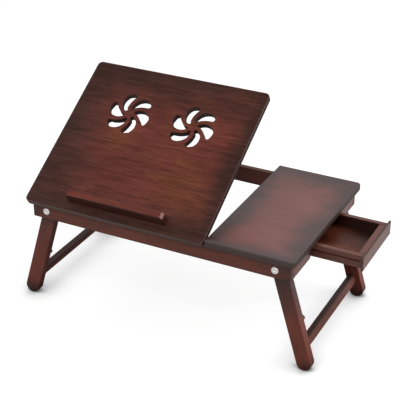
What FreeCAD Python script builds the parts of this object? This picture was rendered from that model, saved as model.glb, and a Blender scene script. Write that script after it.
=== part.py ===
"""Folding wooden lap desk with a tilting reading panel and a side drawer.

While modelling, X runs along the desk from its left end, Y from the front edge to
the back, and Z up from the top face of the panels.  The finished solids are moved
once, so that the origin lies on the ground under the middle of the desk as it
stands at rest: panel tilted, drawer pulled out, legs unfolded.
"""
import FreeCAD
import Part
import math
import os

V = FreeCAD.Vector
X, Y, Z = V(1, 0, 0), V(0, 1, 0), V(0, 0, 1)

os.makedirs("parts", exist_ok=True)

# ------------------------------------------------------------ modelling aids
past = 1.0                 # how far a cutting tool runs past what it cuts
most_round = 0.4           # largest rounding, as a share of the thinnest wall
near = 0.01                # two places this close are the same

# ------------------------------------------------------------ driving dimensions (mm)
# table tops
top_depth = 340.8
panel_t = 12.0
tilt_panel_w = 376.2
fixed_panel_w = 173.2
seam_gap = 0.8
lift_gap = 0.4             # air between the closed tilt panel and the rails
panel_corner_r = 10.0
seam_corner_r = 3.0
panel_edge_r = 1.6
tilt_angle = 32.0          # degrees, rest pose

# frame of rails
rail_h = 33.0
rail_t = 12.0
side_t = 10.0
overhang_front = 10.0
overhang_back = 8.0
overhang_end = 9.0
rail_edge_r = 1.2
opening_w = 138.0          # gap in the right side rail for the drawer
stub_end_r = 7.0
middle_rail_t = 12.0
middle_rail_x = 263.0
frame_dowel_r = 3.0
frame_dowel_len = 22.0
frame_dowel_in_rail = 8.0
frame_dowel_z = (8.0, 25.0)

# fixed panel screws, from below through the long rails
top_screw_r = 2.0
top_screw_bite = 8.0
top_screw_head_r = 4.0
top_screw_head_h = 2.6
top_screw_sink = 15.0
top_screw_inset = (40.0, 30.0)  # from the fixed panel's left and right edges

# swirl vents: petals between radii, bounded by three-point arcs (radius, degrees)
vent_x = 118.5
vent_pitch = 137.9
vent_y = 233.6
vent_r = 45.6
petal_count = 6
petal_corner_r = 5.0
petal_back = ((12.7, 35.0), (24.5, 27.8), (vent_r, -6.7))
petal_rim_mid = (vent_r, -21.4)
petal_front = ((vent_r, -36.1), (24.7, -12.1), (14.35, 9.0))
petal_tip_mid = (10.4, 30.0)

# stop ledge on the tilt panel
ledge_len = 204.5
ledge_t = 13.5
ledge_h = 26.0
ledge_y = 18.5
ledge_x = 89.8
ledge_edge_r = 1.5
ledge_end_bevel = 5.0
ledge_peg_r = 4.0
ledge_peg_inset = 25.0
ledge_peg_in_panel = 8.0
ledge_peg_in_bar = 14.0

# panel hinges
hinge_y = 7.2
barrel_r = 2.5
barrel_len = 42.0
barrel_groove = 0.5        # air round the barrel in the panel
knuckle_gap = 0.3
hinge_pin_r = 1.0
hinge_pin_play = 0.05
leaf_t = 1.0
leaf_reach = 14.0
leaf_air = 0.1             # each leaf stands off the closing plane by this
hinge_x = (42.0, 292.0)
leaf_screw_r = 1.0
leaf_screw_head_r = 2.0
leaf_screw_head_h = 0.9
leaf_screw_len = 8.0
leaf_screw_y = 9.5         # behind the hinge line
leaf_screw_x = (6.0, 36.0)

# prop under the tilt panel
prop_len = 145.0           # hinge line to pivot, and pivot to foot dowel
prop_drop = 8.2            # pivot below the hinge line, panel closed
track_slope = 3.74         # degrees, the foot's track falls towards the back
prop_w = 13.0
prop_t = 8.0
prop_side_gap = 1.0
prop_pin_r = 2.5
prop_pin_play = 0.05
prop_foot_r = 4.0
track_play = 0.3
track_seats = 4
seat_depth = 1.8
block_w = 12.0
block_len = 24.0
block_screw_r = 1.75
block_screw_head_r = 3.5
block_screw_head_h = 2.2
block_screw_bite = 7.0
block_screw_y = 8.0
foot_overhang = 1.0

# drawer
drawer_len = 160.0
drawer_gap = 1.0           # box to the opening, each side
drawer_drop = 4.2          # rim of the box below the rails' top
drawer_h = 25.0
drawer_side_t = 10.0
drawer_front_t = 12.0
drawer_back_t = 9.0
drawer_floor_t = 3.5
drawer_floor_up = 1.5
drawer_floor_in = 3.0
drawer_edge_r = 0.8
drawer_dowel_r = 2.5
drawer_dowel_len = 22.0
drawer_dowel_in_side = 5.0
drawer_dowel_z = (8.5, 18.5)
face_t = 4.0
face_w = 152.0
face_h = 28.0
face_drop = 2.2
face_gap = 0.3
face_edge_r = 0.9
face_dowel_r = 2.0
face_dowel_len = 10.0
face_dowel_in_face = 2.2
face_dowel_inset = 30.0
drawer_open = 96.5         # rest pose
groove_up = 14.0           # groove centre above the box's underside
groove_h = 4.5
groove_depth = 4.0
groove_end = 5.0           # solid wood left at the groove's front end
tongue_play = 0.25
tongue_tip_gap = 0.4
runner_t = 10.0
runner_h = 22.5
runner_gap = 1.0           # runner face to drawer side
runner_rear = 372.0
runner_screw_r = 1.75
runner_screw_head_r = 3.5
runner_screw_head_h = 2.2
runner_screw_bite = 8.0
runner_screw_inset = 25.0
stop_peg_r = 2.0
stop_peg_inset = 6.0
stop_peg_up = 3.5
stop_peg_out = 7.0
stop_peg_in = 6.0

# folding legs
leg_w = 29.0
leg_t = 18.0
leg_len = 212.8            # pivot to foot tip
leg_edge_r = 1.5
splay = 16.7               # degrees, rest pose
leg_stop_gap = 0.2
pivot_drop = 16.5          # below the rails' top
washer_t = 1.0
washer_r = 9.0
side_play = 0.15
bolt_r = 4.0
bolt_play = 0.05
bolt_head_r = 7.0
bolt_head_h = 2.6
bolt_head_edge_r = 1.6
bolt_socket_r = 2.3
bolt_socket_h = 1.4
nut_r = 7.0
nut_h = 4.0
nut_thread_r = 3.0
bar_h = 18.5
bar_t = 12.0
bar_from_pivot = 161.5
bar_inward = 1.9           # from the leg's middle towards the desk's
bar_tenon_shoulder = 1.5
bar_tenon_len = 8.0
bar_edge_r = 1.0
leg_peg_r = 5.0
leg_peg_out = 8.0
leg_peg_in = 7.0
leg_peg_from_pivot = 115.0
leg_peg_edge = 6.0         # peg centre from the leg's right-hand edge
leg_peg_edge_r = 1.5

# ------------------------------------------------------------ derived places
top_length = tilt_panel_w + seam_gap + fixed_panel_w
fixed_x = tilt_panel_w + seam_gap
rail_top = -panel_t
rail_low = rail_top - rail_h
rail_y0 = overhang_front
rail_y1 = top_depth - overhang_back
inner_y0 = rail_y0 + rail_t
inner_y1 = rail_y1 - rail_t
rail_x0 = overhang_end
rail_x1 = top_length - overhang_end
inner_x0 = rail_x0 + side_t
inner_x1 = rail_x1 - side_t
opening_y0 = (rail_y0 + rail_y1 - opening_w) / 2.0
opening_y1 = opening_y0 + opening_w
tilt_low = rail_top + lift_gap

hinge_z = rail_top + lift_gap / 2.0
HINGE = V(0, hinge_y, hinge_z)

pivot_z = rail_top - pivot_drop
_s, _c = math.sin(math.radians(splay)), math.cos(math.radians(splay))
pivot_in = (leg_w / 2.0 + leg_stop_gap + (rail_h - pivot_drop) * _s) / _c
pivot_left = inner_x0 + pivot_in
pivot_right = inner_x1 - pivot_in
foot_r = leg_w / 2.0
ground_z = pivot_z - (leg_len - foot_r) * _c - foot_r

box_y0 = opening_y0 + drawer_gap
box_y1 = opening_y1 - drawer_gap
box_top = rail_top - drawer_drop
box_low = box_top - drawer_h
face_back = rail_x1 + face_gap + drawer_open
box_x1 = face_back
box_x0 = box_x1 - drawer_len
groove_z = box_low + groove_up

# ------------------------------------------------------------ helpers


def box(x0, x1, y0, y1, z0, z1):
    """Axis-aligned block between two corners."""
    return Part.makeBox(x1 - x0, y1 - y0, z1 - z0, V(x0, y0, z0))


def rod(start, axis, radius, length):
    """Round bar from a start point along an axis."""
    return Part.makeCylinder(radius, length, start, axis)


def bore(start, axis, radius, length):
    """Cutting rod that runs past both ends of a hole."""
    return rod(start - axis * past, axis, radius, length + 2.0 * past)


def at_height(shape, *heights):
    """Edges whose middles lie at one of the heights."""
    return [e for e in shape.Edges if min(abs(e.CenterOfMass.z - z) for z in heights) < near]


def in_faces(edges, y0, y1):
    """Those edges that lie in one of two planes across Y."""
    return [e for e in edges if min(abs(e.CenterOfMass.y - y) for y in (y0, y1)) < near]


def edges_along(shape, axis, keep=lambda p: True):
    """Straight edges parallel to an axis whose middle satisfies keep."""
    found = []
    for edge in shape.Edges:
        if edge.Curve.TypeId != "Part::GeomLine":
            continue
        way = edge.Vertexes[1].Point - edge.Vertexes[0].Point
        if abs(way.normalize().dot(axis)) > 0.999 and keep(edge.CenterOfMass):
            found.append(edge)
    return found


def board(x0, x1, y0, y1, z0, z1, radius):
    """Board with all its edges eased, the radius kept inside its thinnest wall."""
    plain = box(x0, x1, y0, y1, z0, z1)
    thin = min(x1 - x0, y1 - y0, z1 - z0)
    return plain.makeFillet(min(radius, most_round * thin), plain.Edges)


def screw(tip, axis, length, shank_r, head_r, head_h):
    """Countersunk wood screw from its tip along an axis to the head's face."""
    shank = rod(tip, axis, shank_r, length - head_h)
    cone = Part.makeCone(shank_r, head_r, head_h, tip + axis * (length - head_h), axis)
    return join(shank, cone)


def join(first, *others):
    """One solid from touching ones."""
    for other in others:
        first = first.fuse(other)
    return first.removeSplitter().Solids[0]


def cut_all(shape, tools):
    for tool in tools:
        shape = shape.cut(tool)
    return shape


def tilted(shape):
    """Copy of a closed-position shape, swung up with the tilt panel."""
    turned = shape.copy()
    turned.rotate(HINGE, X, tilt_angle)
    return turned


def polar(centre, radius, degrees):
    angle = math.radians(degrees)
    return V(centre.x + radius * math.cos(angle), centre.y + radius * math.sin(angle), centre.z)


# ------------------------------------------------------------ frame
nodes = {}
dowels = []


def frame_dowel_pair(x, y_face, way):
    """Two dowels across the joint between a long rail and a cross rail."""
    for z in frame_dowel_z:
        start = V(x, y_face - way * frame_dowel_in_rail, rail_top - z)
        dowels.append(rod(start, Y * way, frame_dowel_r, frame_dowel_len))


def make_dowels():
    for x in (rail_x0 + side_t / 2.0, middle_rail_x + middle_rail_t / 2.0, rail_x1 - side_t / 2.0):
        frame_dowel_pair(x, inner_y0, 1)
        frame_dowel_pair(x, inner_y1, -1)


def top_screws():
    screws = []
    length = rail_h - top_screw_sink + top_screw_bite
    for y in (rail_y0 + rail_t / 2.0, rail_y1 - rail_t / 2.0):
        for x in (fixed_x + top_screw_inset[0], top_length - top_screw_inset[1]):
            tip = V(x, y, rail_top + top_screw_bite)
            screws.append(screw(tip, -Z, length, top_screw_r, top_screw_head_r, top_screw_head_h))
    return screws


def long_rail(y0, y1, screws):
    rail = board(rail_x0, rail_x1, y0, y1, rail_low, rail_top, rail_edge_r)
    rail = cut_all(rail, dowels + screws)
    for item in screws:
        centre = item.BoundBox.Center
        if y0 < centre.y < y1:
            rail = rail.cut(rod(V(centre.x, centre.y, rail_low - past), Z, top_screw_head_r,
                                top_screw_sink + past))
    for x in (pivot_left, pivot_right):
        rail = rail.cut(bore(V(x, y0, pivot_z), Y, bolt_r, rail_t))
    return rail


def stub_rail(y0, y1, free_y):
    """Part of the right side rail beside the drawer opening, its free end rounded."""
    stub = box(inner_x1, rail_x1, y0, y1, rail_low, rail_top)
    free = edges_along(stub, X, lambda p: abs(p.y - free_y) < near and p.z < rail_low + near)
    stub = stub.makeFillet(stub_end_r, free)
    return cut_all(stub.makeFillet(rail_edge_r, at_height(stub, rail_low)), dowels)


def build_frame():
    make_dowels()
    screws = top_screws()
    front = long_rail(rail_y0, inner_y0, screws)
    leaves = [mortise for x in hinge_x for mortise in rail_mortise(x)]
    nodes["front_rail"] = cut_all(front, leaves)
    nodes["back_rail"] = long_rail(inner_y1, rail_y1, screws)
    left = board(rail_x0, inner_x0, inner_y0, inner_y1, rail_low, rail_top, rail_edge_r)
    nodes["left_rail"] = cut_all(left, dowels)
    nodes["right_rail_front"] = stub_rail(inner_y0, opening_y0, opening_y0)
    nodes["right_rail_back"] = stub_rail(opening_y1, inner_y1, opening_y1)
    middle = board(middle_rail_x, middle_rail_x + middle_rail_t, inner_y0, inner_y1,
                   rail_low, rail_top - lift_gap, rail_edge_r)
    nodes["middle_rail"] = cut_all(middle, dowels + foot_track())
    nodes["frame_dowels"] = Part.makeCompound(dowels)
    nodes["top_screws"] = Part.makeCompound(screws)

    panel = box(fixed_x, top_length, 0, top_depth, rail_top, 0)
    outer = edges_along(panel, Z, lambda p: p.x > top_length - near)
    panel = panel.makeFillet(panel_corner_r, outer)
    inner = edges_along(panel, Z, lambda p: p.x < fixed_x + near and p.y < near)
    panel = panel.makeFillet(seam_corner_r, inner)
    panel = panel.makeFillet(min(panel_edge_r, most_round * panel_t), at_height(panel, 0, rail_top))
    nodes["fixed_panel"] = cut_all(panel, screws + runner_screws())


# ------------------------------------------------------------ tilt panel, vents and ledge


def petal(centre, turn):
    """One swirl slot through the panel, turned about the vent's centre."""
    def at(pair):
        return polar(centre, pair[0], pair[1] + turn)
    back = [at(p) for p in petal_back]
    front = [at(p) for p in petal_front]
    outline = Part.Wire([
        Part.Arc(back[0], back[1], back[2]).toShape(),
        Part.Arc(back[2], at(petal_rim_mid), front[0]).toShape(),
        Part.Arc(front[0], front[1], front[2]).toShape(),
        Part.Arc(front[2], at(petal_tip_mid), back[0]).toShape(),
    ])
    slot = Part.Face(outline).extrude(Z * (panel_t + 2.0 * past))

    def on_rim(p):
        return math.hypot(p.x - centre.x, p.y - centre.y) > vent_r - near
    return slot.makeFillet(petal_corner_r, edges_along(slot, Z, on_rim))


def vent_slots():
    slots = []
    for copy in range(2):
        centre = V(vent_x + copy * vent_pitch, vent_y, rail_top - past)
        slots += [petal(centre, k * 360.0 / petal_count) for k in range(petal_count)]
    return slots


def ledge_pegs():
    start_z = -ledge_peg_in_panel
    length = ledge_peg_in_panel + ledge_peg_in_bar
    mid_y = ledge_y + ledge_t / 2.0
    ends = (ledge_x + ledge_peg_inset, ledge_x + ledge_len - ledge_peg_inset)
    return [rod(V(x, mid_y, start_z), Z, ledge_peg_r, length) for x in ends]


def build_ledge():
    pegs = ledge_pegs()
    bar = box(ledge_x, ledge_x + ledge_len, ledge_y, ledge_y + ledge_t, 0, ledge_h)
    ends = edges_along(bar, Y, lambda p: p.z > ledge_h - near)
    bar = bar.makeChamfer(ledge_end_bevel, ends)
    rims = in_faces([e for e in bar.Edges if e.CenterOfMass.z > near], ledge_y, ledge_y + ledge_t)
    bar = bar.makeFillet(min(ledge_edge_r, most_round * ledge_t), rims)
    nodes["ledge_bar"] = tilted(cut_all(bar, pegs))
    nodes["ledge_pegs"] = tilted(Part.makeCompound(pegs))


def build_tilt_panel():
    panel = box(0, tilt_panel_w, 0, top_depth, tilt_low, 0)
    panel = panel.makeFillet(panel_corner_r, edges_along(panel, Z))
    panel = panel.makeFillet(min(panel_edge_r, most_round * panel_t), at_height(panel, 0, tilt_low))
    panel = cut_all(panel, vent_slots() + ledge_pegs() + block_screws())
    for x in hinge_x:
        panel = cut_all(panel, panel_mortise(x))
    nodes["tilt_panel"] = tilted(panel)


# ------------------------------------------------------------ panel hinges


def leaf_screws(x, side):
    """Screws of one leaf: side 1 goes up into the panel, -1 down into the rail."""
    axis = -Z * side
    tip_z = hinge_z + side * (leaf_air + leaf_screw_len)
    return [screw(V(x + dx, hinge_y + leaf_screw_y, tip_z), axis, leaf_screw_len,
                  leaf_screw_r, leaf_screw_head_r, leaf_screw_head_h) for dx in leaf_screw_x]


def leaf_plate(x, side):
    inner, outer = hinge_z + side * leaf_air, hinge_z + side * (leaf_air + leaf_t)
    return box(x, x + barrel_len, hinge_y, hinge_y + leaf_reach, min(inner, outer),
               max(inner, outer))


def rail_mortise(x):
    return [leaf_plate(x, -1)] + leaf_screws(x, -1)


def panel_mortise(x):
    groove = rod(V(x - barrel_groove, hinge_y, hinge_z), X, barrel_r + barrel_groove,
                 barrel_len + 2.0 * barrel_groove)
    return [groove, leaf_plate(x, 1)] + leaf_screws(x, 1)


def hinge_leaf(x, side):
    """Leaf with its knuckles: the rail leaf has the outer two, the panel leaf the middle one."""
    third = barrel_len / 3.0
    half_gap = knuckle_gap / 2.0
    first, second, end = x + third, x + 2.0 * third, x + barrel_len
    if side > 0:
        spans = [(first + half_gap, second - half_gap)]
        clear = [(x - past, first + half_gap), (second - half_gap, end + past)]
        hole_r = hinge_pin_r + hinge_pin_play
    else:
        spans = [(x, first - half_gap), (second + half_gap, end)]
        clear = [(first - half_gap, second + half_gap)]
        hole_r = hinge_pin_r
    leaf = leaf_plate(x, side)
    for x0, x1 in clear:
        leaf = leaf.cut(rod(V(x0, hinge_y, hinge_z), X, barrel_r + barrel_groove, x1 - x0))
    leaf = join(leaf, *[rod(V(x0, hinge_y, hinge_z), X, barrel_r, x1 - x0) for x0, x1 in spans])
    leaf = leaf.cut(bore(V(x, hinge_y, hinge_z), X, hole_r, barrel_len))
    return cut_all(leaf, leaf_screws(x, side))


def build_hinges():
    for name, x in zip(("left", "right"), hinge_x):
        nodes["hinge_leaf_rail_" + name] = hinge_leaf(x, -1)
        nodes["hinge_leaf_panel_" + name] = tilted(hinge_leaf(x, 1))
    pins = [rod(V(x, hinge_y, hinge_z), X, hinge_pin_r, barrel_len) for x in hinge_x]
    nodes["hinge_pins"] = Part.makeCompound(pins)
    rail_screws = [s for x in hinge_x for s in leaf_screws(x, -1)]
    panel_screws = [s for x in hinge_x for s in leaf_screws(x, 1)]
    nodes["hinge_screws_rail"] = Part.makeCompound(rail_screws)
    nodes["hinge_screws_panel"] = tilted(Part.makeCompound(panel_screws))


# ------------------------------------------------------------ prop and its track
# The pivot under the panel is as far from the hinge line as from the foot dowel, so
# the foot runs straight along a track through the hinge line, and the prop turns by
# exactly twice the panel's angle.


def prop_pivot():
    """Pivot of the prop, panel closed."""
    return V(0, hinge_y + math.sqrt(prop_len ** 2 - prop_drop ** 2), hinge_z - prop_drop)


def foot_centre(panel_angle):
    start = -math.degrees(math.asin(prop_drop / prop_len))
    lean = math.radians(start + track_slope + panel_angle)
    run = 2.0 * prop_len * math.cos(lean)
    fall = math.radians(track_slope)
    return V(0, hinge_y + run * math.cos(fall), hinge_z - run * math.sin(fall))


def foot_track():
    """Slot through the middle rail, with seats in its lower side."""
    radius = prop_foot_r + track_play
    x = X * (middle_rail_x - past)
    depth = middle_rail_t + 2.0 * past
    cutters = [link(x + foot_centre(tilt_angle), x + foot_centre(0.0), radius, depth)]
    for k in range(track_seats):
        seat = foot_centre(tilt_angle * (track_seats - k) / track_seats) - Z * seat_depth
        cutters.append(rod(x + seat, X, radius, depth))
    return cutters


def link(start, end, radius, depth):
    """Round-ended bar between two places, with its thickness along X."""
    side = (end - start).normalize().cross(X) * radius
    corners = [start + side, end + side, end - side, start - side, start + side]
    flat = Part.Face(Part.makePolygon(corners)).extrude(X * depth)
    return join(flat, rod(start, X, radius, depth), rod(end, X, radius, depth))


def block_screws():
    """Screws that hold the pivot blocks to the underside of the panel, panel closed."""
    screws = []
    pivot = prop_pivot()
    low = block_low()
    for x in block_centres():
        for dy in (-block_screw_y, block_screw_y):
            tip = V(x, pivot.y + dy, tilt_low + block_screw_bite)
            screws.append(screw(tip, -Z, tip.z - low, block_screw_r,
                                block_screw_head_r, block_screw_head_h))
    return screws


def block_low():
    return hinge_z - prop_drop - prop_w / 2.0


def arm_spans():
    left = middle_rail_x - prop_side_gap
    right = middle_rail_x + middle_rail_t + prop_side_gap
    return ((left - prop_t, left), (right, right + prop_t))


def block_spans():
    (l0, _), (_, r1) = arm_spans()
    return ((l0 - side_play - block_w, l0 - side_play), (r1 + side_play, r1 + side_play + block_w))


def block_centres():
    return [(a + b) / 2.0 for a, b in block_spans()]


def arm(x0, x1, pivot, foot):
    """Flat arm with round ends between the pivot and the foot dowel."""
    depth = x1 - x0
    body = link(pivot + X * x0, foot + X * x0, prop_w / 2.0, depth)
    body = body.cut(bore(pivot + X * x0, X, prop_pin_r + prop_pin_play, depth))
    return body.cut(bore(foot + X * x0, X, prop_foot_r, depth))


def build_prop():
    closed = prop_pivot()
    turned = Part.Vertex(closed)
    turned.rotate(HINGE, X, tilt_angle)
    pivot = turned.Point
    foot = foot_centre(tilt_angle)
    spans = arm_spans()
    for name, (x0, x1) in zip(("left", "right"), spans):
        nodes["prop_arm_" + name] = arm(x0, x1, pivot, foot)
    x0 = spans[0][0] - foot_overhang
    x1 = spans[1][1] + foot_overhang
    nodes["prop_foot_dowel"] = rod(foot + X * x0, X, prop_foot_r, x1 - x0)

    pins = []
    for (a0, a1), (b0, b1) in zip(spans, block_spans()):
        x0, x1 = min(a0, b0), max(a1, b1)
        pins.append(rod(closed + X * x0, X, prop_pin_r, x1 - x0))
    screws = block_screws()
    for name, (x0, x1) in zip(("left", "right"), block_spans()):
        y = closed.y
        blk = board(x0, x1, y - block_len / 2.0, y + block_len / 2.0, block_low(), tilt_low,
                    rail_edge_r)
        nodes["prop_block_" + name] = tilted(cut_all(blk, pins + screws))
    nodes["prop_pins"] = tilted(Part.makeCompound(pins))
    nodes["prop_block_screws"] = tilted(Part.makeCompound(screws))


# ------------------------------------------------------------ drawer and runners


def runner_screws():
    screws = []
    length = runner_h + runner_screw_bite
    for y in runner_mid_y():
        for x in (runner_rear + runner_screw_inset, inner_x1 - runner_screw_inset):
            tip = V(x, y, rail_top + runner_screw_bite)
            screws.append(screw(tip, -Z, length, runner_screw_r, runner_screw_head_r,
                                runner_screw_head_h))
    return screws


def runner_mid_y():
    out = runner_gap + runner_t / 2.0
    return (box_y0 - out, box_y1 + out)


def build_runners():
    screws = runner_screws()
    half = groove_h / 2.0 - tongue_play
    reach = groove_depth - tongue_tip_gap
    for name, y, way in zip(("front", "back"), runner_mid_y(), (1, -1)):
        y0, y1 = y - runner_t / 2.0, y + runner_t / 2.0
        strip = box(runner_rear, inner_x1, y0, y1, rail_top - runner_h, rail_top)
        tip = (box_y0 + reach) if way > 0 else (box_y1 - reach)
        root = y + way * (runner_t / 2.0 - past)
        tongue = box(runner_rear, inner_x1, min(root, tip), max(root, tip),
                     groove_z - half, groove_z + half)
        nodes["drawer_runner_" + name] = cut_all(join(strip, tongue), screws)
    nodes["runner_screws"] = Part.makeCompound(screws)


def drawer_dowels():
    pins = []
    xs = (box_x0 + drawer_back_t / 2.0, box_x1 - drawer_front_t / 2.0)
    for x in xs:
        for dz in drawer_dowel_z:
            z = box_low + dz
            skin = drawer_side_t - drawer_dowel_in_side
            pins.append(rod(V(x, box_y0 + skin, z), Y, drawer_dowel_r, drawer_dowel_len))
            pins.append(rod(V(x, box_y1 - skin, z), -Y, drawer_dowel_r, drawer_dowel_len))
    return pins


def face_dowels():
    start = face_back + face_dowel_in_face
    z = (box_top + box_low) / 2.0
    return [rod(V(start, y, z), -X, face_dowel_r, face_dowel_len)
            for y in (box_y0 + face_dowel_inset, box_y1 - face_dowel_inset)]


def stop_pegs():
    x, z = box_x0 + stop_peg_inset, box_low + stop_peg_up
    length = stop_peg_out + stop_peg_in
    return [rod(V(x, box_y0 - stop_peg_out, z), Y, stop_peg_r, length),
            rod(V(x, box_y1 + stop_peg_out, z), -Y, stop_peg_r, length)]


def build_drawer():
    floor_low = box_low + drawer_floor_up
    in_y0, in_y1 = box_y0 + drawer_side_t, box_y1 - drawer_side_t
    in_x0, in_x1 = box_x0 + drawer_back_t, box_x1 - drawer_front_t
    grip = drawer_floor_in
    bottom = box(in_x0 - grip, in_x1 + grip, in_y0 - grip, in_y1 + grip,
                 floor_low, floor_low + drawer_floor_t)
    pins, pegs, fixings = drawer_dowels(), stop_pegs(), face_dowels()
    half = groove_h / 2.0
    for name, y0, y1, out in (("front", box_y0, in_y0, -1), ("back", in_y1, box_y1, 1)):
        side = board(box_x0, box_x1, y0, y1, box_low, box_top, drawer_edge_r)
        face_y = y0 if out < 0 else y1
        groove = box(box_x0 - past, box_x1 - groove_end, face_y - groove_depth,
                     face_y + groove_depth, groove_z - half, groove_z + half)
        nodes["drawer_side_" + name] = cut_all(side, [groove, bottom] + pins + pegs)
    back = board(box_x0, in_x0, in_y0, in_y1, box_low, box_top, drawer_edge_r)
    nodes["drawer_back"] = cut_all(back, [bottom] + pins)
    front = board(in_x1, box_x1, in_y0, in_y1, box_low, box_top, drawer_edge_r)
    nodes["drawer_front"] = cut_all(front, [bottom] + pins + fixings)
    nodes["drawer_bottom"] = bottom
    mid = (box_y0 + box_y1) / 2.0
    face_top = rail_top - face_drop
    face = board(face_back, face_back + face_t, mid - face_w / 2.0, mid + face_w / 2.0,
                 face_top - face_h, face_top, face_edge_r)
    nodes["drawer_face"] = cut_all(face, fixings)
    nodes["drawer_dowels"] = Part.makeCompound(pins)
    nodes["face_dowels"] = Part.makeCompound(fixings)
    nodes["drawer_stop_pegs"] = Part.makeCompound(pegs)


# ------------------------------------------------------------ legs


def leg_spans():
    """Y range of the front and the back leg of a pair."""
    gap = washer_t + side_play
    front = inner_y0 + gap
    back = inner_y1 - gap
    return ((front, front + leg_t), (back - leg_t, back))


def upright_leg(x, y0, y1):
    """Straight leg with round ends, hanging from the pivot."""
    tip = V(x, y0, pivot_z - leg_len + foot_r)
    head = V(x, y0, pivot_z)
    body = box(x - foot_r, x + foot_r, y0, y1, tip.z, head.z)
    body = join(body, *[rod(end, Y, foot_r, y1 - y0) for end in (tip, head)])
    rims = in_faces(body.Edges, y0, y1)
    body = body.makeFillet(min(leg_edge_r, most_round * leg_t), rims)
    return body.cut(bore(V(x, y0, pivot_z), Y, bolt_r + bolt_play, leg_t))


def crossbar(x, inward):
    """Flat bar between two legs, with a tenon at each end."""
    (_, y0), (y1, _) = leg_spans()
    x0 = x + inward * bar_inward - bar_t / 2.0
    x1 = x0 + bar_t
    z1 = pivot_z - bar_from_pivot
    z0 = z1 - bar_h
    bar = box(x0, x1, y0, y1, z0, z1)
    bar = bar.makeFillet(min(bar_edge_r, most_round * bar_t), edges_along(bar, Y))
    s = bar_tenon_shoulder
    tenon = box(x0 + s, x1 - s, y0 - bar_tenon_len, y1 + bar_tenon_len, z0 + s, z1 - s)
    return join(bar, tenon)


def leg_pegs(x):
    """Round pegs on the inner faces of a pair of legs, above the crossbar."""
    (_, y0), (y1, _) = leg_spans()
    px = x + foot_r - leg_peg_edge
    pz = pivot_z - leg_peg_from_pivot
    length = leg_peg_in + leg_peg_out
    pegs = []
    for y, way in ((y0, 1), (y1, -1)):
        peg = rod(V(px, y - way * leg_peg_in, pz), Y * way, leg_peg_r, length)
        tip = y + way * leg_peg_out
        pegs.append(peg.makeFillet(leg_peg_edge_r, in_faces(peg.Edges, tip, tip)))
    return pegs


def leg_pair(name, x, turn, inward):
    centre = V(x, 0, pivot_z)
    bar, pegs = crossbar(x, inward), leg_pegs(x)

    def splayed(shape):
        moved = shape.copy()
        moved.rotate(centre, Y, turn)
        return moved

    for place, (y0, y1) in zip(("front", "back"), leg_spans()):
        nodes[name + "_leg_" + place] = splayed(cut_all(upright_leg(x, y0, y1), [bar] + pegs))
    nodes[name + "_crossbar"] = splayed(bar)
    nodes[name + "_leg_pegs"] = splayed(Part.makeCompound(pegs))


def pivot_bolt(x, face_y, way):
    """Bolt from the rail's outer face: domed cap, shank through rail and leg, threaded end."""
    head = rod(V(x, face_y - way * bolt_head_h, pivot_z), Y * way, bolt_head_r, bolt_head_h)
    cap_y = face_y - way * bolt_head_h
    head = head.makeFillet(min(bolt_head_edge_r, bolt_head_h - near),
                           in_faces(head.Edges, cap_y, cap_y))
    head = head.cut(rod(V(x, cap_y - way * past, pivot_z), Y * way, bolt_socket_r,
                        bolt_socket_h + past))
    shank_len = rail_t + washer_t + leg_t + 2.0 * side_play
    shank = rod(V(x, face_y, pivot_z), Y * way, bolt_r, shank_len)
    thread = rod(V(x, face_y + way * shank_len, pivot_z), Y * way, nut_thread_r, nut_h)
    return join(head, shank, thread)


def build_legs():
    bolts, nuts, washers = [], [], []
    for x in (pivot_left, pivot_right):
        for face_y, way in ((rail_y0, 1), (rail_y1, -1)):
            bolts.append(pivot_bolt(x, face_y, way))
            start = face_y + way * rail_t
            ring = rod(V(x, start, pivot_z), Y * way, washer_r, washer_t)
            washers.append(ring.cut(rod(V(x, start, pivot_z), Y * way, bolt_r, washer_t)))
            start += way * (washer_t + leg_t + 2.0 * side_play)
            nut = rod(V(x, start, pivot_z), Y * way, nut_r, nut_h)
            nuts.append(nut.cut(rod(V(x, start, pivot_z), Y * way, nut_thread_r, nut_h)))
    nodes["pivot_bolts"] = Part.makeCompound(bolts)
    nodes["pivot_washers"] = Part.makeCompound(washers)
    nodes["pivot_nuts"] = Part.makeCompound(nuts)
    leg_pair("left", pivot_left, splay, 1)
    leg_pair("right", pivot_right, -splay, -1)


# ------------------------------------------------------------ assembly
build_frame()
build_tilt_panel()
build_ledge()
build_hinges()
build_prop()
build_runners()
build_drawer()
build_legs()

foot_reach = (leg_len - foot_r) * _s + foot_r
x_low = min(0.0, pivot_left - foot_reach)
x_high = max(top_length, pivot_right + foot_reach, face_back + face_t)
_t = math.radians(tilt_angle)
y_low = min(0.0, hinge_y - panel_edge_r + (panel_edge_r - hinge_y) * math.cos(_t) +
            (panel_edge_r + hinge_z) * math.sin(_t))
shift = V(-(x_low + x_high) / 2.0, -(y_low + top_depth) / 2.0, -ground_z)

for name, shape in nodes.items():
    placed = shape.copy()
    placed.translate(shift)
    placed.exportStep("parts/" + name + ".step")

print("nodes", len(nodes))
print("shift", shift)
print("hinge line", HINGE + shift)
print("prop pivot at rest", V(nodes["prop_pins"].BoundBox.Center) + shift)
print("leg pivots", V(pivot_left, 0, pivot_z) + shift, V(pivot_right, 0, pivot_z) + shift)
print("drawer travel out", inner_x1 - stop_peg_r - (box_x0 + stop_peg_inset))
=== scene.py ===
"""Looks of the folding lap desk: stained wood, steel fittings and a white studio."""

import math

import bpy
from mathutils import Matrix, Vector

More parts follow.
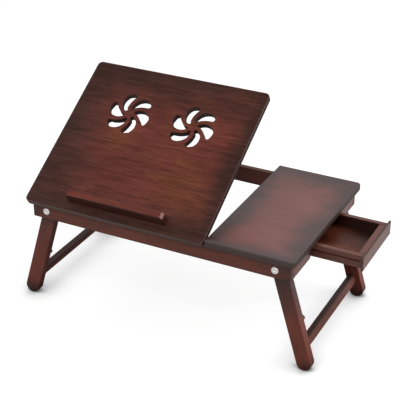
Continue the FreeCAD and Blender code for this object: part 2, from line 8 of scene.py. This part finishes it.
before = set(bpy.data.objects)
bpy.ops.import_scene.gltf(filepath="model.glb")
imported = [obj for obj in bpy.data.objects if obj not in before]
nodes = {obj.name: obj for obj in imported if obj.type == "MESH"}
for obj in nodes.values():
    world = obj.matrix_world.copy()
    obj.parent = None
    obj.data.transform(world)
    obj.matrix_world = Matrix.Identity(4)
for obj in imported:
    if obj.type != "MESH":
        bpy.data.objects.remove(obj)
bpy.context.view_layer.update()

# ------------------------------------------------------------ driving values (metres, degrees, watts)
IMAGE_SIDE = 416.0            # the picture's width and height, in pixels
CAMERA_FOCAL = 1129.9         # focal length, in those pixels
CAMERA_AZIMUTH = 26.2
CAMERA_ELEVATION = 28.41
CAMERA_ROLL = 0.39
CAMERA_DISTANCE = 2.26906
CAMERA_TARGET = Vector((-0.04084, 0.07821, 0.15294))
SENSOR_WIDTH = 36.0           # millimetres

TILT = 32.0                   # reading panel at rest
SPLAY = 16.7                  # legs at rest

# stain and grain: noises whose repeats per metre run along the grain, across it and in depth
CLOUD = {"repeats": (6.0, 11.0, 11.0), "detail": 3.0, "roughness": 0.55}       # slow drift of the stain
PATCH = {"repeats": (9.0, 16.0, 16.0), "detail": 4.0, "roughness": 0.6}        # warmer flecks
BAND = {"repeats": (16.0, 210.0, 210.0), "detail": 3.0, "roughness": 0.65, "distortion": 0.2}
LINE = {"repeats": (45.0, 560.0, 560.0), "detail": 3.0, "roughness": 0.6}
PORE = {"repeats": (70.0, 1900.0, 1900.0), "detail": 1.0, "roughness": 0.5}
BAND_SHARE = 0.6              # share of the broad grain in the shade; the fine grain has the rest
BOARD_STEP = Vector((1.7, 0.9, 0.4))  # how far the noises move from one board to the next
INSIDE_BORDERS = 2.0          # a board's middle, counted in reaches of its borders
BORDER_BLEND = 0.5            # rounds the corner where two borders meet
BUMP_STRENGTH = 0.4           # at full grain contrast
BUMP_DEPTH = 0.0003

# ranges of the wood's masks and shades: from, to, and what they give where that isn't 0 to 1
CORE = (0.1, 1.2)                     # by border distance: the middle's colour
FLECK = (0.45, 0.62)                  # by the patch noise
PORE_DEPTH = (0.60, 0.74)             # by the pore noise
GRAIN = (0.34, 0.66)                  # by the broad and fine grain
CLOUD_SHADE = (0.30, 0.70, 0.86, 1.10)
ROUGH_BAND = (0.3, 0.7)               # by the broad grain, and how far it shifts the roughness
ROUGH_SHIFT = (-0.03, 0.05)
SIDE = (0.05, 0.30, 1.0, 0.0)         # by how far a face looks along the board's depth
ARRIS_START = (0.10, 0.35)
ARRIS_END = (0.80, 0.97, 1.0, 0.0)
INNER = (0.5, 0.9)                    # by how far a face looks into the drawer, where painted shade goes
FRONT = (-0.85, -0.35, 1.0, 0.0)      # by how far a face looks to the board's near side, where the painted sheen goes
WORN_ROUGH = 0.3                      # roughness added on arrises as they darken (taken off where they get a painted highlight), and on stained edges
EDGE_ROUGH = 0.30

STEEL_HAZE = 900.0            # repeats per metre
STEEL_BAND = (0.3, 0.7)       # by the haze, and how far it shifts the roughness
STEEL_SHIFT = (-0.05, 0.08)
STEEL_BUMP = 0.05
STEEL_DEPTH = 0.0002

SKY_LIGHT = 0.24              # light from all round, and what is added towards the top
TOP_LIGHT = 0.42
LAMP_AIM = (0.0, 0.0, 0.2)
KEY_LAMP = {"place": (0.3, -2.0, 2.2), "size": (1.8, 1.4), "power": 22.0}
FILL_LAMP = {"place": (2.2, 0.9, 1.7), "size": (1.6, 1.2), "power": 36.0}

FLOOR_SIDE = 30.0
FLOOR_BOUNCE = 0.15           # grey that lights the object
FLOOR_MATT = 0.43             # grey that takes the object's shadow, and the glow that makes it white
FLOOR_GLOW = 0.76
FLOOR_MIRRORED = 0.65         # grey that the object mirrors
CONTACT_REACH = 0.065         # how far the painted contact shadows at the feet spread
CONTACT_SHADE = (0.30, 0.97, 0.15, 1.0)
UNDER_REACH = 0.35            # how far the painted shade on the mirrored floor reaches round the object
UNDER_SHADE = (0.55, 0.95, 0.02, 1.0)
BACK = (-0.3, 0.3)                    # the mirrored sky by how far a direction looks back
LOW = (0.30, 0.56, 0.85, 0.0)         # and by its height: darker where it is both low and at the back
CEILING = (0.60, 0.88, 1.0, 0.05)     # and darker right above


# ------------------------------------------------------------ node tree helpers
class Tree:
    """Short way to build a node tree."""

    def __init__(self, tree):
        self.tree = tree
        tree.nodes.clear()

    def add(self, kind, inputs=(), **settings):
        """New node with attributes from settings and inputs from (socket, value or output) pairs."""
        node = self.tree.nodes.new(kind)
        for key, value in settings.items():
            setattr(node, key, value)
        for socket, value in dict(inputs).items():
            if isinstance(value, bpy.types.NodeSocket):
                self.tree.links.new(value, node.inputs[socket])
            else:
                node.inputs[socket].default_value = value
        return node

    def math(self, operation, a, b=0.0, third=0.0):
        return self.add("ShaderNodeMath", {0: a, 1: b, 2: third}, operation=operation).outputs[0]

    def times(self, a, b):
        return self.math("MULTIPLY", a, b)

    def lower(self, value, mask, amount):
        """A value that loses a share of itself where a mask is 1."""
        return self.times(value, self.math("SUBTRACT", 1.0, self.times(mask, amount)))

    def split(self, vector):
        return self.add("ShaderNodeSeparateXYZ", {0: vector}).outputs

    def ramp(self, value, low, high, to_low=0.0, to_high=1.0):
        """Smooth step of a value from one range to another."""
        node = self.add("ShaderNodeMapRange", {"Value": value, "From Min": low, "From Max": high,
                        "To Min": to_low, "To Max": to_high}, interpolation_type="SMOOTHSTEP")
        return node.outputs["Result"]

    def noise(self, vector, scale, detail=2.0, roughness=0.5, distortion=0.0):
        node = self.add("ShaderNodeTexNoise", {"Vector": vector, "Scale": scale, "Detail": detail,
                        "Roughness": roughness, "Distortion": distortion})
        return node.outputs["Fac"]

    def grain(self, place, repeats, detail, roughness, distortion=0.0):
        """Noise with its own number of repeats along each direction."""
        stretched = self.add("ShaderNodeVectorMath", {0: place, 1: repeats}, operation="MULTIPLY").outputs[0]
        return self.noise(stretched, 1.0, detail, roughness, distortion)

    def mix(self, factor, a, b):
        node = self.add("ShaderNodeMix", data_type="RGBA")
        for socket, value in (("Factor", factor), ("A", a), ("B", b)):
            target = [s for s in node.inputs if s.name == socket and s.enabled][0]
            if isinstance(value, bpy.types.NodeSocket):
                self.tree.links.new(value, target)
            else:
                target.default_value = value
        return [s for s in node.outputs if s.enabled][0]

    def scale(self, colour, factor):
        node = self.add("ShaderNodeVectorMath", {0: colour}, operation="SCALE")
        self.tree.links.new(factor, node.inputs["Scale"])
        return node.outputs[0]


def new_material(name):
    material = bpy.data.materials.new(name)
    material.use_nodes = True
    return material, Tree(material.node_tree)


def dress(name, material):
    """Gives a CAD node one material."""
    slots = nodes[name].material_slots
    if not slots:
        nodes[name].data.materials.append(material)
    for item in slots:
        item.link = "OBJECT"
        item.material = material


# ------------------------------------------------------------ wood
def local_frame(turn_axis, turn, grain, across):
    """Rotation whose columns are the grain, across and depth directions of a turned board."""
    turned = Matrix.Rotation(math.radians(turn), 3, turn_axis)
    x = turned @ Vector(grain)
    y = turned @ Vector(across)
    return Matrix((x, y, x.cross(y))).transposed()


def local_box(name, rotation):
    """Lowest and highest corners of a node along the columns of a rotation."""
    inverse = rotation.transposed()
    points = [inverse @ v.co for v in nodes[name].data.vertices]
    low = Vector([min(p[i] for p in points) for i in range(3)])
    high = Vector([max(p[i] for p in points) for i in range(3)])
    return low, high


def border_distance(t, place, box, borders):
    """How far a point is from the board's darker sides, counted in reaches of their borders."""
    x, y, _ = t.split(place)
    low, high = box
    start, end, near, far = borders
    from_sides = [(t.math("SUBTRACT", x, low.x), start), (t.math("SUBTRACT", high.x, x), end),
                  (t.math("SUBTRACT", y, low.y), near), (t.math("SUBTRACT", high.y, y), far)]
    edge = INSIDE_BORDERS
    for distance, reach in from_sides:
        if reach:
            edge = t.math("SMOOTH_MIN", edge, t.math("DIVIDE", distance, reach), third=BORDER_BLEND)
    return edge


def grain_noises(t, place, seed):
    """The stain's clouds and flecks, the broad and the fine grain, and the pores."""
    moved = t.add("ShaderNodeVectorMath", {0: place, 1: BOARD_STEP * seed}, operation="ADD").outputs[0]
    cloud = t.grain(moved, **CLOUD)
    patch = t.grain(moved, **PATCH)
    band = t.grain(moved, **BAND)
    line = t.grain(moved, **LINE)
    pore = t.ramp(t.grain(moved, **PORE), *PORE_DEPTH)
    return cloud, patch, band, line, pore


def wood(name, rotation, finish, borders, seed, inside):
    """Stained wood: grain, cloudy stain, darker borders and edges (the stain, and painted shade on some
    boards), arrises darker or, with a negative amount, a painted highlight, painted shade on the drawer's
    inner faces and the walls of holes, and a painted sheen on the front edge.
    """
    material, t = new_material("wood_" + name)
    turn = rotation.transposed().to_euler()
    coords = t.add("ShaderNodeTexCoord").outputs
    place = t.add("ShaderNodeMapping", {"Vector": coords["Object"], "Rotation": turn}).outputs[0]
    facing = t.add("ShaderNodeMapping", {"Vector": coords["Normal"], "Rotation": turn}).outputs[0]
    edge = border_distance(t, place, local_box(name, rotation), borders)
    cloud, patch, band, line, pore = grain_noises(t, place, seed)

    # masks: the board's middle, its sides and its arrises
    wander = t.times(t.math("SUBTRACT", cloud, 0.5), finish["drift"])
    core = t.ramp(t.math("ADD", edge, wander), *CORE)
    _, forward, depth = t.split(facing)
    tilt = t.math("ABSOLUTE", depth)
    side = t.ramp(tilt, *SIDE)
    arris = t.times(t.ramp(tilt, *ARRIS_START), t.ramp(tilt, *ARRIS_END))

    rim, heart, ember = finish["colours"]
    colour = t.mix(core, rim, heart)
    colour = t.mix(t.times(core, t.ramp(patch, *FLECK)), colour, ember)
    # painted shade on the faces that look into the drawer
    if inside:
        colour = t.mix(t.ramp(t.times(depth, inside), *INNER), colour, PAINTED_INSIDE_SHADE)
    if finish["edging"]:
        colour = t.mix(t.lower(side, core, 1.0), colour, finish["edging"])
    # painted sheen on the faces that look to the front
    if finish["lip"]:
        colour = t.mix(t.ramp(forward, *FRONT), colour, finish["lip"])

    contrast = finish["contrast"]
    shade = t.math("ADD", t.times(band, BAND_SHARE), t.times(line, 1.0 - BAND_SHARE))
    shade = t.ramp(shade, *GRAIN, 1.0 - contrast, 1.0 + contrast)
    shade = t.lower(shade, pore, contrast)
    shade = t.times(shade, t.ramp(cloud, *CLOUD_SHADE))
    # painted shade on the walls of holes
    shade = t.lower(shade, t.times(core, side), finish["holes"])
    # arrises darker where the amount is above 0, and a painted highlight along them where it is below 0
    shade = t.lower(shade, arris, finish["worn"])

    rough = t.ramp(band, *ROUGH_BAND, *(finish["rough"] + shift for shift in ROUGH_SHIFT))
    rough = t.math("ADD", rough, t.times(arris, WORN_ROUGH * finish["worn"]))
    if finish["edging"]:
        rough = t.math("ADD", rough, t.times(side, EDGE_ROUGH))
    bump = t.add("ShaderNodeBump", {"Strength": BUMP_STRENGTH * contrast, "Distance": BUMP_DEPTH,
                 "Height": t.math("SUBTRACT", line, pore)}).outputs[0]
    shader = t.add("ShaderNodeBsdfPrincipled", {"Base Color": t.scale(colour, shade), "Roughness": rough,
                   "Specular IOR Level": finish["gloss"], "Normal": bump})
    t.add("ShaderNodeOutputMaterial", {"Surface": shader.outputs[0]})
    return material


def opaque(colour):
    return tuple(colour) + (1.0,)


def look(rim, heart, ember, contrast, gloss, rough, worn, drift=1.2, holes=0.0, edging=None, lip=None):
    """A finish: the colours of a board's border, middle and flecks, the grain's contrast, gloss and
    roughness, how dark the arrises are (below 0 paler, a painted highlight), how far the stain's clouds
    wander, how much painted shade darkens the walls of holes, and the colours of the outer edges and of
    the painted sheen on the front edge where they differ."""
    return {"colours": [opaque(c) for c in (rim, heart, ember)], "contrast": contrast, "gloss": gloss,
            "rough": rough, "worn": worn, "drift": drift, "holes": holes,
            "edging": edging and opaque(edging), "lip": lip and opaque(lip)}


# TILTED: the pale front-edge colour is a painted sheen, and the walls of its holes take painted shade
TILTED = look((0.066, 0.023, 0.016), (0.165, 0.037, 0.026), (0.180, 0.049, 0.022),
              contrast=0.30, gloss=0.42, rough=0.32, worn=0.20, drift=1.0, holes=0.80,
              edging=(0.028, 0.005, 0.002), lip=(0.188, 0.122, 0.103))
LEVEL = look((0.057, 0.025, 0.022), (0.188, 0.055, 0.042), (0.198, 0.062, 0.046),
             contrast=0.04, gloss=0.86, rough=0.30, worn=0.75, drift=1.4, edging=(0.030, 0.008, 0.004))
# LEDGE, RAIL and LEG take a negative arris amount: a painted highlight along their arrises
LEDGE = look((0.056, 0.009, 0.003), (0.155, 0.034, 0.022), (0.170, 0.040, 0.024),
             contrast=0.28, gloss=0.42, rough=0.34, worn=-0.30)
RAIL = look((0.100, 0.032, 0.019), (0.168, 0.043, 0.027), (0.190, 0.052, 0.030),
            contrast=0.24, gloss=0.45, rough=0.38, worn=-0.20)
LEG = look((0.064, 0.024, 0.017), (0.200, 0.042, 0.027), (0.220, 0.054, 0.032),
           contrast=0.18, gloss=0.48, rough=0.36, worn=-0.30)
BAR = look((0.050, 0.013, 0.007), (0.172, 0.052, 0.037), (0.188, 0.058, 0.040),
           contrast=0.22, gloss=0.45, rough=0.40, worn=0.10)
DRAWER = look((0.060, 0.020, 0.012), (0.138, 0.044, 0.029), (0.158, 0.050, 0.031),
              contrast=0.28, gloss=0.60, rough=0.32, worn=0.30)
FACE = look((0.085, 0.032, 0.025), (0.185, 0.066, 0.052), (0.200, 0.070, 0.052),
            contrast=0.18, gloss=0.65, rough=0.34, worn=0.30)
# TRAY's near-black border colour is painted shade under the fixed panel and by the drawer's far wall
TRAY = look((0.018, 0.004, 0.001), (0.110, 0.027, 0.015), (0.120, 0.030, 0.015),
            contrast=0.45, gloss=0.24, rough=0.34, worn=0.20)
# painted shade: colour of the drawer walls' inner faces, standing in for the shade inside the drawer
PAINTED_INSIDE_SHADE = opaque((0.026, 0.004, 0.001))

X, Y, Z = (1, 0, 0), (0, 1, 0), (0, 0, 1)
flat_x = local_frame("X", 0, X, Y)
rail_x = local_frame("X", 0, X, Z)
rail_y = local_frame("X", 0, Y, Z)
panel_x = local_frame("X", TILT, X, Y)
panel_y = local_frame("X", TILT, Y, Z)
leg_left = local_frame("Y", SPLAY, Z, X)
leg_right = local_frame("Y", -SPLAY, Z, X)
bar_left = local_frame("Y", SPLAY, Y, Z)
bar_right = local_frame("Y", -SPLAY, Y, Z)

# how far the darker border reaches in from the two ends and the two sides, 0 where it doesn't; on most
# boards the stain, on some partly or wholly painted shade (noted where so)
FINE = (0.004, 0.004, 0.002, 0.002)
BOARD = (0.004, 0.004, 0.0, 0.0)
# RIDGE's border along the far side darkens the crossbars' top face with BAR's rim colour: painted shade
# under the desk
RIDGE = (0.004, 0.004, 0.0, 0.006)
# LONG: the wider border along the rails' top edge is partly painted shade under the panels, the rest the
# stain
LONG = (0.030, 0.030, 0.004, 0.006)
SHANK = (0.030, 0.125, 0.0, 0.0)

# each wooden node's rotation, finish and borders
WOODEN = {
    "tilt_panel": (panel_x, TILTED, (0.110, 0.045, 0.080, 0.090)),
    "fixed_panel": (flat_x, LEVEL, (0.046, 0.066, 0.052, 0.096)),
    "ledge_bar": (panel_x, LEDGE, FINE),
    "front_rail": (rail_x, RAIL, LONG), "back_rail": (rail_x, RAIL, LONG),
    "left_rail": (rail_y, RAIL, LONG), "middle_rail": (rail_y, RAIL, LONG),
    "right_rail_front": (rail_y, FACE, BOARD), "right_rail_back": (rail_y, FACE, BOARD),
    "left_leg_front": (leg_left, LEG, SHANK), "left_leg_back": (leg_left, LEG, SHANK),
    "right_leg_front": (leg_right, LEG, SHANK), "right_leg_back": (leg_right, LEG, SHANK),
    "left_crossbar": (bar_left, BAR, RIDGE), "right_crossbar": (bar_right, BAR, RIDGE),
    "left_leg_pegs": (bar_left, RAIL, FINE), "right_leg_pegs": (bar_right, RAIL, FINE),
    "prop_arm_left": (rail_y, RAIL, FINE), "prop_arm_right": (rail_y, RAIL, FINE),
    "prop_block_left": (panel_y, RAIL, FINE), "prop_block_right": (panel_y, RAIL, FINE),
    "prop_foot_dowel": (rail_x, RAIL, FINE),
    "drawer_face": (rail_y, FACE, FINE), "drawer_front": (rail_y, DRAWER, BOARD),
    "drawer_back": (rail_y, DRAWER, FINE),
    "drawer_side_front": (rail_x, DRAWER, BOARD), "drawer_side_back": (rail_x, DRAWER, BOARD),
    # the drawer bottom's wide borders at its hidden end and far side are painted shade under the fixed panel
    # and by the far wall
    "drawer_bottom": (flat_x, TRAY, (0.11, 0.0, 0.0, 0.09)), "drawer_stop_pegs": (rail_y, RAIL, FINE),
    "drawer_runner_front": (rail_x, RAIL, FINE), "drawer_runner_back": (rail_x, RAIL, FINE),
    "frame_dowels": (rail_y, RAIL, FINE), "drawer_dowels": (rail_y, RAIL, FINE),
    "face_dowels": (rail_x, RAIL, FINE), "ledge_pegs": (panel_y, RAIL, FINE),
}
# the side of the drawer's walls that faces into it, along each board's depth, which takes painted shade
INNER_FACES = {"drawer_side_back": 1, "drawer_side_front": -1, "drawer_front": -1, "drawer_back": 1}
# boards whose clouds of stain are chosen; every other board's come from its place in the list
CHOSEN_SEEDS = {"fixed_panel": 24.5}
for index, (name, (rotation, finish, borders)) in enumerate(sorted(WOODEN.items())):
    seed = CHOSEN_SEEDS.get(name, index + 1.0)
    dress(name, wood(name, rotation, finish, borders, seed, INNER_FACES.get(name, 0)))


# ------------------------------------------------------------ metal
def steel(name, colour, roughness):
    """Plated metal with a faint haze."""
    material, t = new_material(name)
    coords = t.add("ShaderNodeTexCoord").outputs["Object"]
    haze = t.noise(coords, STEEL_HAZE, 3.0)
    rough = t.ramp(haze, *STEEL_BAND, *(roughness + shift for shift in STEEL_SHIFT))
    bump = t.add("ShaderNodeBump", {"Strength": STEEL_BUMP, "Distance": STEEL_DEPTH,
                 "Height": haze}).outputs[0]
    shader = t.add("ShaderNodeBsdfPrincipled", {"Base Color": opaque(colour), "Metallic": 1.0,
                   "Roughness": rough, "Normal": bump})
    t.add("ShaderNodeOutputMaterial", {"Surface": shader.outputs[0]})
    return material


nickel = steel("nickel", (0.90, 0.89, 0.87), 0.45)
zinc = steel("zinc", (0.55, 0.54, 0.52), 0.38)
for name in ("pivot_bolts", "pivot_nuts", "pivot_washers"):
    dress(name, nickel)
for name in ("hinge_leaf_rail_left", "hinge_leaf_rail_right", "hinge_leaf_panel_left",
             "hinge_leaf_panel_right", "hinge_pins", "hinge_screws_rail", "hinge_screws_panel",
             "prop_pins", "prop_block_screws", "runner_screws", "top_screws"):
    dress(name, zinc)


# ------------------------------------------------------------ studio
def by_path(t, plain, shown, mirrored):
    """Shader that differs for light rays, rays that show it and rays that mirror it."""
    path = t.add("ShaderNodeLightPath").outputs
    direct = t.math("MAXIMUM", path["Is Camera Ray"], path["Is Transmission Ray"])
    first = t.add("ShaderNodeMixShader", {0: path["Is Glossy Ray"], 1: plain, 2: mirrored}).outputs[0]
    return t.add("ShaderNodeMixShader", {0: direct, 1: first, 2: shown}).outputs[0]


def matt(t, grey):
    return t.add("ShaderNodeBsdfDiffuse", {"Color": opaque([grey] * 3)}).outputs[0]


def openness(t, reach, samples):
    """1 where nothing stands within reach of a point, and less where something does."""
    return t.add("ShaderNodeAmbientOcclusion", {"Distance": reach}, samples=samples).outputs["AO"]


def faded(t, amount, shader):
    """A shader mixed with black."""
    return t.add("ShaderNodeMixShader", {0: amount, 2: shader}).outputs[0]


def make_floor():
    bpy.ops.mesh.primitive_plane_add(size=FLOOR_SIDE, location=(0, 0, 0))
    floor = bpy.context.object
    floor.name = "studio_floor"
    material, t = new_material("floor_white")
    glow = t.add("ShaderNodeEmission", {"Color": opaque([1.0] * 3), "Strength": FLOOR_GLOW}).outputs[0]
    bright = t.add("ShaderNodeAddShader", {0: matt(t, FLOOR_MATT), 1: glow}).outputs[0]
    # painted contact shadows at the feet, and painted shade on the mirrored floor, from how close the
    # object's parts stand
    contact = t.ramp(openness(t, CONTACT_REACH, 12), *CONTACT_SHADE)
    around = t.ramp(openness(t, UNDER_REACH, 8), *UNDER_SHADE)
    shader = by_path(t, matt(t, FLOOR_BOUNCE), faded(t, contact, bright),
                     faded(t, around, matt(t, FLOOR_MIRRORED)))
    t.add("ShaderNodeOutputMaterial", {"Surface": shader})
    floor.data.materials.append(material)


def sky(t, strength):
    return t.add("ShaderNodeBackground", {"Color": opaque([1.0] * 3), "Strength": strength}).outputs[0]


def make_world():
    """A plain sky that is white to the eye, and darker low behind and right above in mirrors."""
    world = bpy.data.worlds.new("studio")
    bpy.context.scene.world = world
    world.use_nodes = True
    t = Tree(world.node_tree)
    _, y, z = t.split(t.add("ShaderNodeTexCoord").outputs["Generated"])
    lit = sky(t, t.math("ADD", SKY_LIGHT, t.times(z, TOP_LIGHT)))
    low_back = t.times(t.ramp(y, *BACK), t.ramp(z, *LOW))
    mirrored = sky(t, t.lower(t.ramp(z, *CEILING), low_back, 1.0))
    t.add("ShaderNodeOutputWorld", {"Surface": by_path(t, lit, sky(t, 1.0), mirrored)})


def area_lamp(name, place, size, power):
    data = bpy.data.lights.new(name, "AREA")
    data.shape = "RECTANGLE"
    data.size, data.size_y = size
    data.energy = power
    lamp = bpy.data.objects.new(name, data)
    bpy.context.scene.collection.objects.link(lamp)
    lamp.location = place
    lamp.rotation_euler = (Vector(LAMP_AIM) - Vector(place)).to_track_quat("-Z", "Y").to_euler()


def make_camera():
    azimuth, elevation, roll = (math.radians(a) for a in (CAMERA_AZIMUTH, CAMERA_ELEVATION, CAMERA_ROLL))
    ahead = Vector((-math.sin(azimuth) * math.cos(elevation), math.cos(azimuth) * math.cos(elevation),
                    -math.sin(elevation)))
    level = Vector((math.cos(azimuth), math.sin(azimuth), 0))
    upright = level.cross(ahead)
    right = level * math.cos(roll) + upright * math.sin(roll)
    up = upright * math.cos(roll) - level * math.sin(roll)
    data = bpy.data.cameras.new("camera")
    data.sensor_width = SENSOR_WIDTH
    data.lens = CAMERA_FOCAL / IMAGE_SIDE * SENSOR_WIDTH
    camera = bpy.data.objects.new("camera", data)
    bpy.context.scene.collection.objects.link(camera)
    turn = Matrix((right, up, -ahead)).transposed().to_4x4()
    camera.matrix_world = Matrix.Translation(CAMERA_TARGET - ahead * CAMERA_DISTANCE) @ turn
    bpy.context.scene.camera = camera


make_floor()
make_world()
area_lamp("key", **KEY_LAMP)
area_lamp("fill", **FILL_LAMP)
make_camera()
bpy.context.scene.view_settings.view_transform = "Standard"
